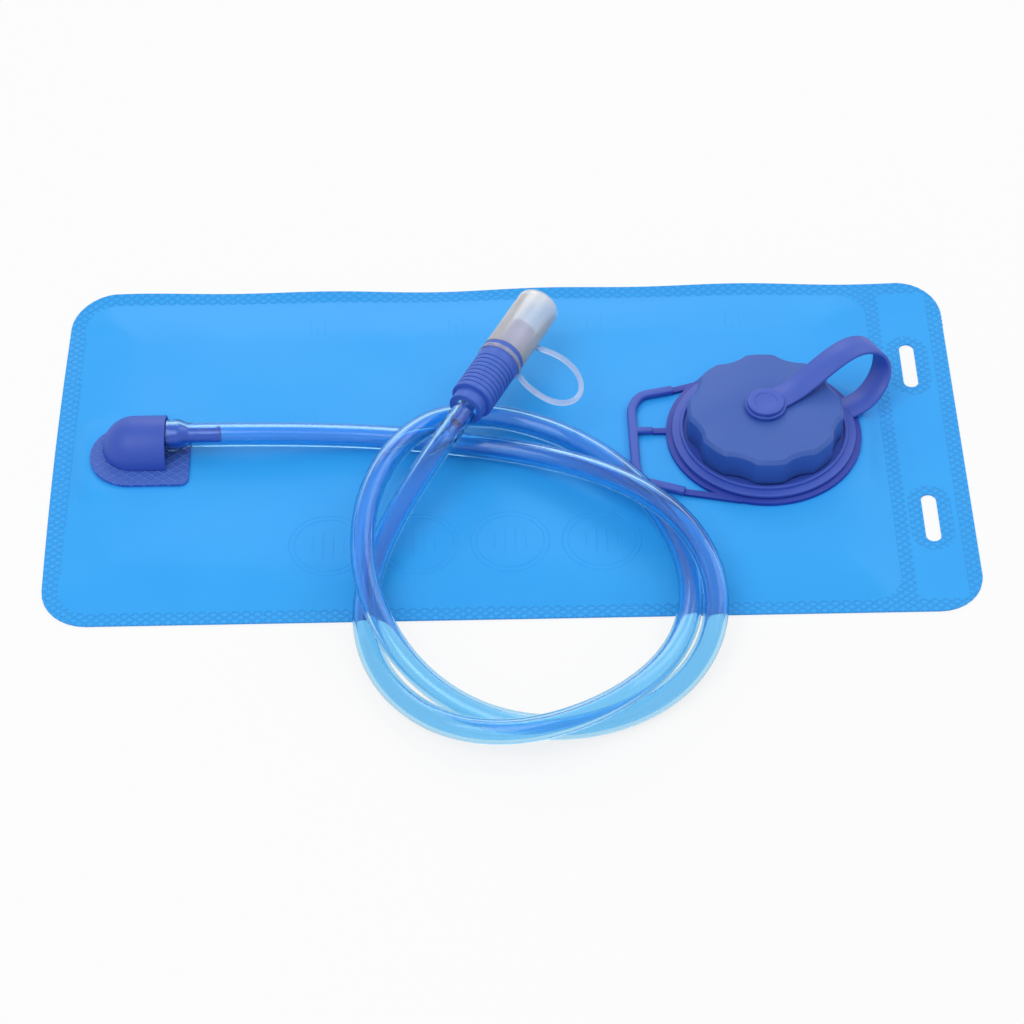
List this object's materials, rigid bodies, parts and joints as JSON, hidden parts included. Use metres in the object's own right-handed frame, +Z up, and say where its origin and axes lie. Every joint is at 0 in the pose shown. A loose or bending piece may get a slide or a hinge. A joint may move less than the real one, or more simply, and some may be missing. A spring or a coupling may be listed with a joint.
{
  "type": "hydration bladder",
  "caption": "Flat hydration bladder of translucent blue film with a tethered screw cap, hanging slots, a coiled drinking hose and a bite valve under a clear dust cap.",
  "frame": {"origin": "on the floor under the middle of the bag", "axes": "+X along the bag to its hanging slots, +Y across the bag away from the coiled hose, +Z up out of the front film"},
  "size_m": [0.36, 0.2478, 0.0382],
  "materials": {
    "film": "soft gloss translucent film",
    "fitting_blue": "moulded matte blue",
    "hose_clear": "clear blue tube",
    "clear_plastic": "clear moulded cup",
    "tip_blue": "soft matte",
    "seal": "matte"
  },
  "bodies": {
    "bag": {"back_film": "film", "front_film": "film", "hanging_tab": "film", "fill_neck": "fitting_blue", "grip_bow": "fitting_blue", "port_plate": "fitting_blue", "port_cowl": "fitting_blue", "hose_connector": "clear_plastic", "connector_o_ring": "seal", "hose": "hose_clear", "valve_stem": "fitting_blue", "stem_o_rings": "seal"},
    "cap_tether_body": {"cap_tether": "fitting_blue"},
    "fill_cap_body": {"fill_cap": "fitting_blue", "cap_gasket": "seal", "tether_button": "fitting_blue"},
    "valve_sleeve_body": {"valve_sleeve": "fitting_blue", "bite_tip": "tip_blue", "dust_cap_ring": "clear_plastic"},
    "dust_cap_body": {"dust_cap": "clear_plastic", "dust_cap_tether": "clear_plastic"}
  },
  "joints": [
    {"name": "cap_lift", "type": "slide", "parent": "bag", "child": "cap_tether_body", "axis": [0, 0, 1], "range_m": [0, 0.009], "deforming": ["cap_tether"]},
    {"name": "cap_turn", "type": "hinge", "parent": "cap_tether_body", "child": "fill_cap_body", "pos_m": [0.101, 0, 0.0094], "axis": [0, 0, 1], "range_deg": [0, 720]},
    {"name": "valve_pull", "type": "slide", "parent": "bag", "child": "valve_sleeve_body", "axis": [0.4589, 0.8885, 0], "range_m": [0, 0.005]},
    {"name": "dust_cap_pull", "type": "slide", "parent": "valve_sleeve_body", "child": "dust_cap_body", "axis": [0.4589, 0.8885, 0], "range_m": [0, 0.018], "deforming": ["dust_cap_tether"]}
  ],
  "couplings": [
    {"joint": "cap_lift", "follows": "cap_turn", "m_per_rad": 0.00071619}
  ]
}
